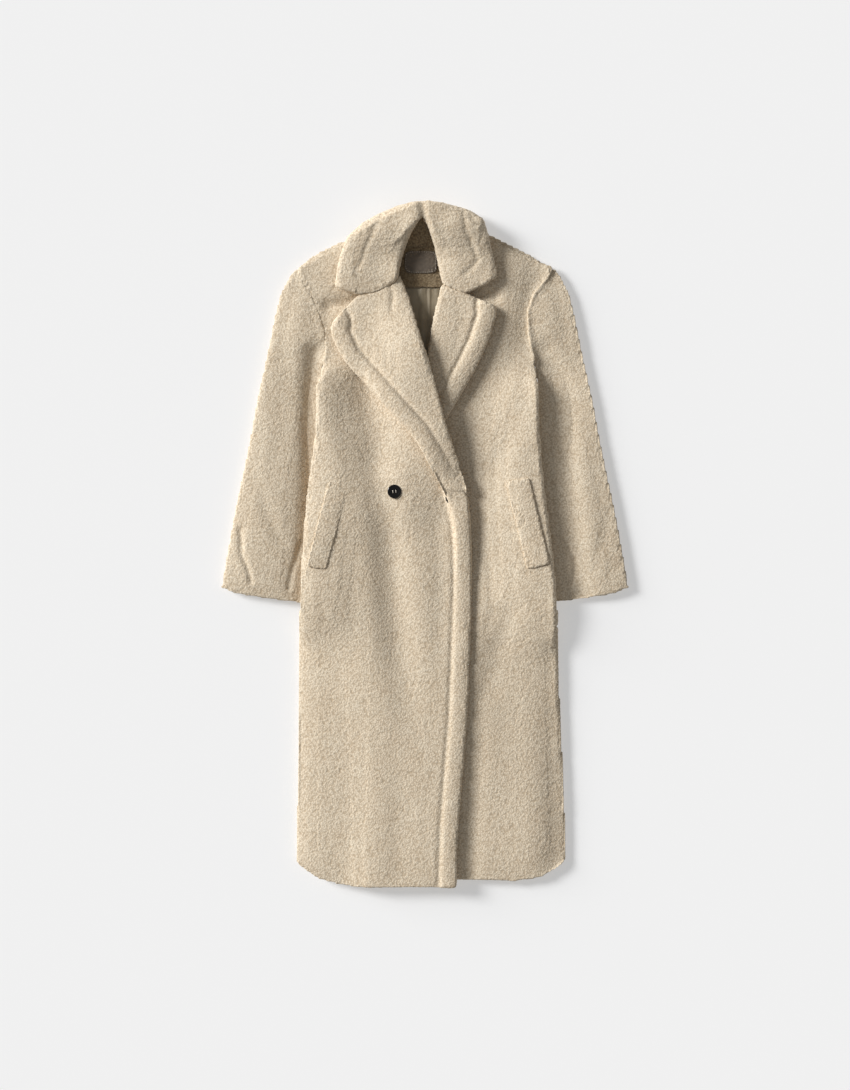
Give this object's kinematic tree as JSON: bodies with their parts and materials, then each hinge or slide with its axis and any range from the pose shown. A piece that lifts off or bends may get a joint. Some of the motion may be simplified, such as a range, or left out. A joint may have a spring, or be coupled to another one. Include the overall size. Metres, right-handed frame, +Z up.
{
  "type": "faux fur coat",
  "caption": "Long double-breasted coat of curly pile cloth with notched lapels and slanted pocket welts, laid flat on its back.",
  "frame": {"origin": "on the surface that the coat lies on, under the middle of its bounding box", "axes": "+X to the wearer's left, +Y up the coat to the collar, +Z up off the surface"},
  "size_m": [0.7376, 1.2342, 0.0611],
  "materials": {
    "teddy": "curly polyester pile on a knitted back",
    "satin": "smooth woven lining",
    "label": "bare woven label",
    "button": "polished dark resin"
  },
  "bodies": {
    "root": {"back": "teddy", "front_right": "teddy", "front_left": "teddy", "sleeve_right_upper": "teddy", "sleeve_right_under": "teddy", "sleeve_left_upper": "teddy", "sleeve_left_under": "teddy", "lapel_right": "teddy", "lapel_left": "teddy", "upper_collar": "teddy", "collar_stand": "teddy", "back_neck_facing": "teddy", "back_lining": "satin", "neck_label": "label", "pocket_welt_right": "teddy", "pocket_welt_left": "teddy", "button": "button", "button_fastening": "button"}
  },
  "joints": []
}
